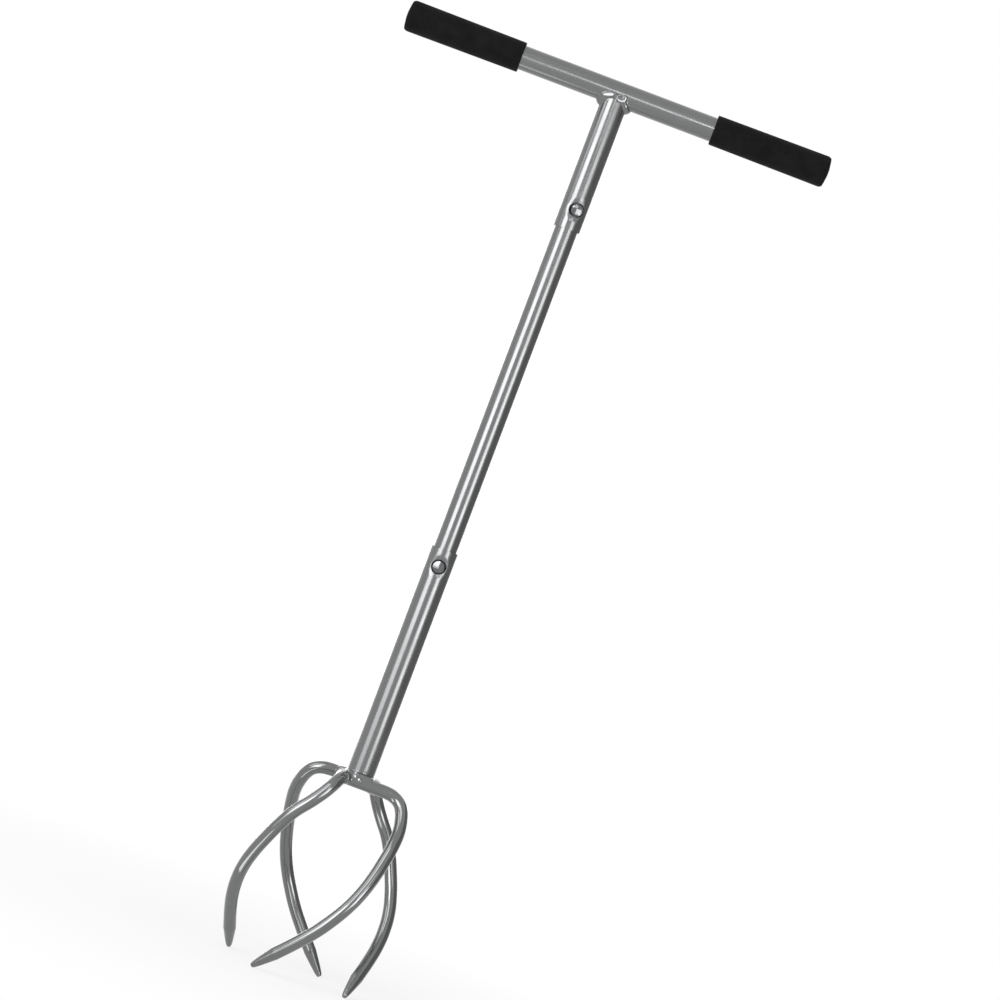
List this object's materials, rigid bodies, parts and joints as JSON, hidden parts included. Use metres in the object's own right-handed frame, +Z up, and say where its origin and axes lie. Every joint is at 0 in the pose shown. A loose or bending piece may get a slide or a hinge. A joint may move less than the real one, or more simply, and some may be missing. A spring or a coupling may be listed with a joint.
{
  "type": "twist tiller",
  "caption": "Upright hand tiller with a gripped T handle, a telescoping tube shaft held by snap buttons, and curled pointed tines in a pinwheel.",
  "frame": {"origin": "on the ground under the shaft's axis, in the plane of the tine points", "axes": "+Z up along the shaft, +X along the handle's crossbar, and the snap buttons face -Y, the upper one turned 12 degrees towards +X"},
  "size_m": [0.4536, 0.1698, 0.9637],
  "materials": {
    "painted_tube": "glossy metallic grey coat",
    "painted_crossbar": "satin metallic grey coat",
    "painted_bar": "glossy metallic grey coat over round steel bar",
    "weld_bead": "lumpy weld metal under the same grey coat",
    "spring_steel": "bare spring steel",
    "button_plate": "bright plated",
    "grip_foam": "matte black foam with a closed skin"
  },
  "bodies": {
    "tine_head": {"lower_tube": "painted_tube", "foot_weld": "weld_bead", "tine_1": "painted_bar", "tine_2": "painted_bar", "tine_3": "painted_bar", "tine_4": "painted_bar", "corner_weld_1": "weld_bead", "corner_weld_2": "weld_bead", "corner_weld_3": "weld_bead", "corner_weld_4": "weld_bead"},
    "middle_section": {"middle_tube": "painted_tube", "upper_snap_spring": "spring_steel", "lower_snap_spring": "spring_steel"},
    "handle_section": {"crossbar_tube": "painted_crossbar", "grip_left": "grip_foam", "grip_right": "grip_foam", "upper_tube": "painted_tube", "handle_weld": "weld_bead"},
    "upper_button": {"upper_snap_button": "button_plate"},
    "lower_button": {"lower_snap_button": "button_plate"}
  },
  "joints": [
    {"name": "lower_joint_pull", "type": "slide", "parent": "tine_head", "child": "middle_section", "axis": [0, 0, 1], "range_m": [0, 0.054], "deforming": ["lower_snap_spring", "lower_snap_button"]},
    {"name": "upper_joint_pull", "type": "slide", "parent": "middle_section", "child": "handle_section", "axis": [0, 0, 1], "range_m": [0, 0.054], "deforming": ["upper_snap_spring", "upper_snap_button"]},
    {"name": "upper_button_press", "type": "slide", "parent": "middle_section", "child": "upper_button", "axis": [-0.2079, 0.9781, 0], "range_m": [0, 0.005], "stiffness_N_per_m": 3000, "springref_m": -0.002, "deforming": ["upper_snap_spring"]},
    {"name": "lower_button_press", "type": "slide", "parent": "middle_section", "child": "lower_button", "axis": [0, 1, 0], "range_m": [0, 0.005], "stiffness_N_per_m": 3000, "springref_m": -0.002, "deforming": ["lower_snap_spring"]}
  ]
}
